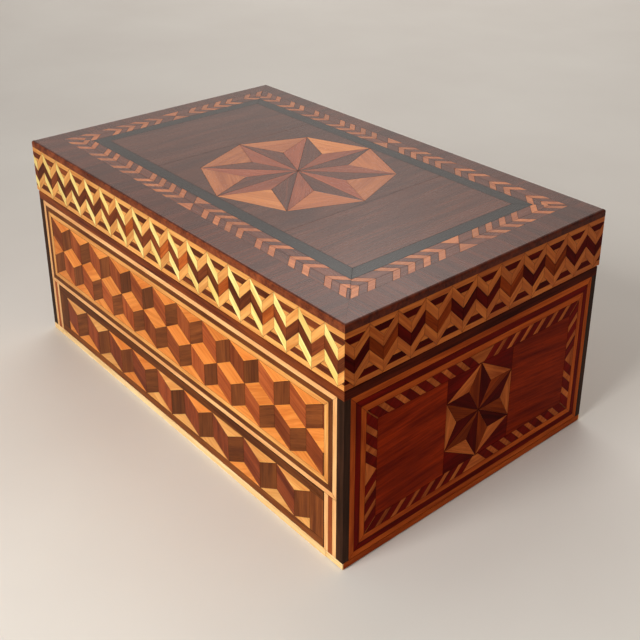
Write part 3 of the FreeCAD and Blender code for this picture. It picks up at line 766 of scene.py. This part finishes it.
def octagon(centre, radius, start, count):
    """The points of part of the star's octagon, from a start angle."""
    step = math.copysign(45, count)
    return [(centre[0] + radius * math.cos(math.radians(start + step * i)),
             centre[1] + radius * math.sin(math.radians(start + step * i))) for i in range(abs(count) + 1)]


def lid_field(centre, radius):
    """The brown ground: two plain veneers, and a middle one cut round the star in two halves."""
    panel = Panel("lid_field", "top", "lid")
    left, right, low, high = flat_rect("lid_field")
    # How far from the lid's middle the plain veneers start.
    seam = 60
    strip(panel, "mauve", left, -seam, low, high, -0.1)
    panel.add("mauve", box_outline(seam, right, low, high), 90, 0.35)
    cy = centre[1]
    upper = [(seam, cy), (seam, high), (-seam, high), (-seam, cy)] + octagon(centre, radius, 180, -4)
    lower = [(-seam, cy), (-seam, low), (seam, low), (seam, cy)] + octagon(centre, radius, 0, -4)
    for outline in (upper, lower):
        panel.add("mauve", outline, 90, -0.25)
    return panel.build()


def lid_star(centre, radius):
    """The eight-pointed star in its octagon."""
    panel = Panel("lid_star", "top", "lid")
    tones = [("blush", -0.5), ("blush", 0.6), ("tan", 1), ("blush", 0.2),
             ("blush", -0.4), ("blush", -0.2), ("tan", 0), ("blush", 0.4)]
    star(panel, centre, radius, notch=radius * 0.54, points=8, turn=0, light="sienna", dark="umber",
         between=tones)
    return panel.build()


def lid_border():
    """The crossbanded edging: short lengths of dark wood with rounded arrises, mitred at the corners."""
    low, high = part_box("lid_border")
    outer = flat_rect("lid_border")
    inner = flat_rect("lid_chevron_banding")
    thickness = (high.z - low.z) / MM
    radius, arc_steps, joint = 1.5, 6, 0.03
    # A length of wood is about this long, and its joints lie up to the shift from even places.
    usual_length, shift = 62, 8
    mesh = VeneerMesh("lid_border_crossbanding")
    for k in range(4):
        flat = k >= 2
        edge, sign = outer[k], math.copysign(1, inner[k] - outer[k])
        width = abs(inner[k] - outer[k])
        ends = (0, 1) if flat else (2, 3)
        profile = [(0, thickness), (0, radius)]
        for i in range(1, arc_steps):
            angle = math.radians(90 * i / arc_steps)
            profile.append((radius - radius * math.cos(angle), radius - radius * math.sin(angle)))
        profile += [(radius, 0), (width, 0), (width, thickness)]
        lengths = [0]
        for p, q in zip(profile, profile[1:]):
            lengths.append(lengths[-1] + math.dist(p, q))
        span = outer[ends[1]] - outer[ends[0]]
        pieces = round(span / usual_length)
        cuts = [outer[ends[0]] + span * i / pieces for i in range(pieces + 1)]
        cuts = [cuts[0]] + [c + random.uniform(-shift, shift) for c in cuts[1:-1]] + [cuts[-1]]
        for i, (a, b) in enumerate(zip(cuts, cuts[1:])):
            rings = []
            for first, along in ((True, a), (False, b)):
                section = []
                for (inward, depth), length in zip(profile, lengths):
                    share = inward / width
                    s = along
                    if first and i == 0:
                        s = outer[ends[0]] + share * (inner[ends[0]] - outer[ends[0]])
                    if not first and i == pieces - 1:
                        s = outer[ends[1]] + share * (inner[ends[1]] - outer[ends[1]])
                    s += joint if first else -joint
                    across = edge + sign * inward
                    u, v = (s, across) if flat else (across, s)
                    point = Vector((u * MM, v * MM + LID_MIDDLE, high.z - depth * MM))
                    section.append((point, (length, s, depth)))
                rings.append(section)
            # The sides at the lid's ends take the edging's darker copy: painted shade.
            edge_kind = "edging" if flat else "shaded_edging"
            mesh.stack("border", rings, random.uniform(-0.7, 0.7), edge_kind=edge_kind,
                       edge_sides=(0, 1, 2, 3))
    piece = mesh.finish("lid_border", "lid")
    shape = bmesh.new()
    shape.from_mesh(piece.data)
    bmesh.ops.recalc_face_normals(shape, faces=shape.faces)
    shape.to_mesh(piece.data)
    shape.free()
    return piece


# ---------------------------------------------------------------- the object

def red_rising(valley, falls):
    """A few rising legs near the middle of the long bands."""
    return valley in (-2, 0, 1, 3, 5) and not falls


def red_pairs(valley, falls):
    """Two valleys in five along the end bands."""
    return valley % 5 in (1, 3)


long_woods = ("boxwood", "satin", "rosewood", "copper")
# The end bands take darker, redder copies of the long bands' woods: painted shade.
shaded_end_woods = ("shaded_amber", "shaded_amber", "shaded_garnet", "shaded_chestnut")
zigzag_band("lid_band_front", "front", LONG_PERIOD, long_woods, red_rising)
zigzag_band("lid_band_back", "back", LONG_PERIOD, long_woods, red_rising)
zigzag_band("lid_band_right", "right", END_PERIOD, shaded_end_woods, red_pairs)
zigzag_band("lid_band_left", "left", END_PERIOD, shaded_end_woods, red_pairs)

opening_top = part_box("drawer_marquetry")[1].z / MM + DRAWER_GAP
front = Panel("front_marquetry", "front", "base")
blocks_panel(front, opening_top)
lines_beside_drawer(front, opening_top)
front.build()
back = Panel("back_marquetry", "back", "base")
blocks_panel(back, opening_top)
lines_beside_drawer(back, opening_top)
drawer_pattern(back, (-DRAWER_HALF, DRAWER_HALF, back.low, opening_top))
back.build()
drawer = Panel("drawer_marquetry", "front", "drawer")
drawer_pattern(drawer, (-drawer.half, drawer.half, drawer.low, drawer.high))
drawer.build()
end_panel("right_marquetry", "right")
end_panel("left_marquetry", "left")

star_low, star_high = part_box("lid_star")
star_radius = (star_high.x - star_low.x) / 2 / MM
star_centre = (0, ((star_low.y + star_high.y) / 2 - LID_MIDDLE) / MM)
lid_border()
chevron_banding(star_centre[1])
lid_line()
lid_field(star_centre, star_radius)
lid_star(star_centre, star_radius)


# ---------------------------------------------------------------- boards, mouldings and brass

def along(kind, grain, name=None, **more):
    """A wood for a solid board, its grain along an axis of the box."""
    dark, light, pores = (VENEER_TONES | BOARD_TONES)[kind]
    return wood(name or f"{kind}_{grain}", dark, light, grain=grain, pores=pores, **more)


def give(material, *nodes):
    """CAD nodes in one material."""
    for node in nodes:
        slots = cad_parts[node].data.materials
        slots.clear()
        slots.append(material)


def pale_plinth_ends(material, node, tones, thickness=0.0006):
    """A thin band of the plinth's pale colour at the front and back ends of a foot strip, whose own darker
    wood is painted shade.
    """
    tree = material.node_tree
    shader = next(n for n in tree.nodes if n.type == "BSDF_PRINCIPLED")
    ends = [v.co.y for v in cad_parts[node].data.vertices]
    reach = (max(ends) - min(ends)) / 2
    place = tree.nodes.new("ShaderNodeTexCoord")
    parts = tree.nodes.new("ShaderNodeSeparateXYZ")
    link(tree, place, "Object", parts, "Vector")
    offset = math_node(tree, "SUBTRACT", parts.outputs["Y"], min(ends) + reach)
    away = math_node(tree, "ABSOLUTE", offset, 0.0)
    pale_end_mask = math_node(tree, "GREATER_THAN", away, reach - thickness)
    fine = noise(tree, grain_vector(tree, "x"), stretch=20, scale=0.8, detail=3)
    pale = ramp(tree, fine, [(0.4, tones[0]), (0.6, tones[1])])
    body = shader.inputs["Base Color"].links[0].from_socket
    tree.links.new(mix(tree, "MIX", pale_end_mask, body, pale), shader.inputs["Base Color"])
    return material


give(along("cap", "x"), "cap_front", "cap_back")
# The end caps take the cap's darker copy: painted shade.
give(along("shaded_cap", "y", level=0.02), "cap_left", "cap_right")
give(along("post", "z", level=0.04), "corner_posts")
give(along("plinth", "x"), "plinth_front", "plinth_back")
# The foot strips under the ends are a darker copy of the plinth's wood, painted shade, with the plinth's
# pale colour at their front and back ends.
for foot in ("plinth_left", "sliding_strip"):
    shaded_foot_wood = along("shaded_tawny", "y", name=foot + "_wood", level=0.02)
    give(pale_plinth_ends(shaded_foot_wood, foot, BOARD_TONES["plinth"]), foot)
give(along("cedar", "x", gloss=0.55, figure=0.25), "lining_front", "lining_back", "lid_lining", "dust_board")
give(along("cedar", "y", gloss=0.55, figure=0.25), "lining_left", "lining_right")
give(along("pine", "x", gloss=0.6, figure=0.25), "bottom_board", "back_board", "front_board", "drawer_back",
     "front_stile_left", "front_stile_right")
give(along("pine", "y", gloss=0.6, figure=0.25), "left_board", "right_board", "drawer_guide_left",
     "drawer_guide_right", "drawer_side_left", "drawer_side_right", "drawer_bottom")
give(along("walnut", "x", gloss=0.5, figure=0.3), "drawer_front", "lid_top_board", "lid_rail_front",
     "lid_rail_back")
give(along("walnut", "y", gloss=0.5, figure=0.3), "lid_rail_left", "lid_rail_right")
give(brass("aged_brass"), "hinge_base_leaf_left", "hinge_base_leaf_right", "hinge_lid_leaf_left",
     "hinge_lid_leaf_right", "hinge_pins", "base_screws", "lid_screws", "bolt_keeper", "drawer_bolt",
     "lid_bolt", "lid_catch")


# ---------------------------------------------------------------- studio

def floor(size=3.0, cells=12):
    """A pale floor under the box."""
    material, tree, shader = new_material("pale_floor")
    source = tree.nodes.new("ShaderNodeTexCoord")
    cloud = noise(tree, source.outputs["Object"], stretch=1, scale=5, detail=4, roughness=0.5)
    tree.links.new(ramp(tree, cloud, [(0.3, srgb(217, 213, 207)), (0.7, srgb(223, 220, 214))]),
                   shader.inputs["Base Color"])
    shader.inputs["Roughness"].default_value = 0.7
    shape = bmesh.new()
    bmesh.ops.create_grid(shape, x_segments=cells, y_segments=cells, size=size)
    mesh = bpy.data.meshes.new("floor")
    shape.to_mesh(mesh)
    shape.free()
    mesh.materials.append(material)
    plane = bpy.data.objects.new("floor", mesh)
    bpy.context.scene.collection.objects.link(plane)


def soft_light(name, place, target, size, power, colour=(1, 1, 1), spread=180):
    """A square area light at a place, facing a target."""
    lamp = bpy.data.lights.new(name, "AREA")
    lamp.shape = "SQUARE"
    lamp.size = size
    lamp.energy = power
    lamp.color = colour
    lamp.spread = math.radians(spread)
    holder = bpy.data.objects.new(name, lamp)
    holder.location = place
    holder.rotation_euler = (Vector(target) - Vector(place)).to_track_quat("-Z", "Y").to_euler()
    holder.visible_camera = False
    bpy.context.scene.collection.objects.link(holder)


def surroundings(horizon, zenith):
    """A pale world, brightest level with the horizon like the walls of a room."""
    world = bpy.data.worlds.new("studio")
    world.use_nodes = True
    tree = world.node_tree
    direction = tree.nodes.new("ShaderNodeTexCoord")
    parts = tree.nodes.new("ShaderNodeSeparateXYZ")
    link(tree, direction, "Generated", parts, "Vector")
    sky = ramp(tree, parts.outputs["Z"], [(0.1, horizon), (0.8, zenith)])
    tree.links.new(sky, tree.nodes["Background"].inputs["Color"])
    bpy.context.scene.world = world


def camera():
    """The camera looks down on the near corner from the front right."""
    lens = bpy.data.cameras.new("camera")
    lens.lens = 56.17
    lens.sensor_width = 36
    lens.shift_y = -0.19
    lens.clip_start = 0.01
    holder = bpy.data.objects.new("camera", lens)
    holder.location = (0.4241, -0.3432, 0.3566)
    holder.rotation_euler = (math.radians(90 - 23.51), 0, math.radians(49.64))
    bpy.context.scene.collection.objects.link(holder)
    bpy.context.scene.camera = holder


floor()
surroundings(horizon=(0.56, 0.54, 0.54), zenith=(0.33, 0.31, 0.29))
soft_light("key", (0.14, -0.8, 0.62), (0.14, -0.08, 0.06), size=0.4, power=1.95,
           colour=(1.0, 0.98, 0.95), spread=88)
soft_light("overhead", (-1.0, 1.0, 1.4), (-1.0, 1.0, 0), size=1.6, power=12, colour=(1.0, 0.98, 0.96))
for x, y in ((1.4, 1.3), (1.4, -1.5), (-1.4, -1.4)):
    soft_light("floor_fill", (x, y, 1.5), (x, y, 0), size=1.0, power=5, colour=(1.0, 0.98, 0.96), spread=80)
soft_light("back", (-1.5, 1.3, 1.0), (0, 0, 0.1), size=2.2, power=3.9, colour=(1.0, 0.84, 0.70))
bpy.context.scene.view_settings.view_transform = "Standard"
bpy.context.scene.view_settings.gamma = 0.88
camera()
